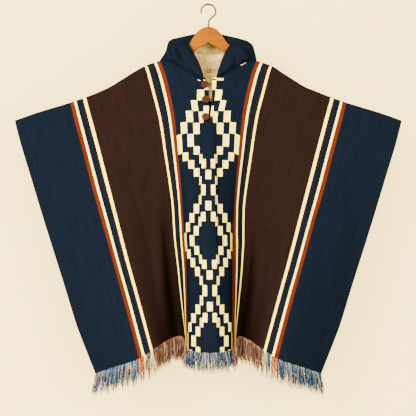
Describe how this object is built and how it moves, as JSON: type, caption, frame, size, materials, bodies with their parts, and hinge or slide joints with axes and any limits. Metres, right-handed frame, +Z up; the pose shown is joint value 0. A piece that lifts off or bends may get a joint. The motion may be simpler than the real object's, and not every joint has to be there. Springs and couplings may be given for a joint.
{
  "type": "hooded andean poncho on a coat hanger",
  "caption": "Hooded wool poncho with a stepped diamond centre panel, striped bands, buttoned neck slit and fringed hems, hanging in soft folds on a wooden coat hanger.",
  "frame": {"origin": "inside of the hook's top, where a rail bears", "axes": "+Z up, -Y out of the garment's front, +X to the wearer's left"},
  "size_m": [1.308, 0.3022, 1.3066],
  "materials": {
    "striped_wool": "warp-faced navy, brown and cream wool",
    "hood_wool": "navy wool, beige inside",
    "warp_fringe": "loose wool yarn in the stripes' colours",
    "tan_tape": "folded cotton tape",
    "tan_cord": "twisted cord",
    "button": "satin reddish brown",
    "hanger_wood": "clear honey lacquer",
    "hanger_steel": "bright drawn wire"
  },
  "bodies": {
    "root": {"front": "striped_wool", "back": "striped_wool", "hood_left": "hood_wool", "hood_right": "hood_wool", "neck_tape": "tan_tape", "button_1": "button", "button_2": "button", "button_3": "button", "loop_1": "tan_cord", "loop_2": "tan_cord", "loop_3": "tan_cord", "fringe_front": "warp_fringe", "fringe_back": "warp_fringe", "hanger_wood": "hanger_wood", "hanger_hook": "hanger_steel"}
  },
  "joints": []
}
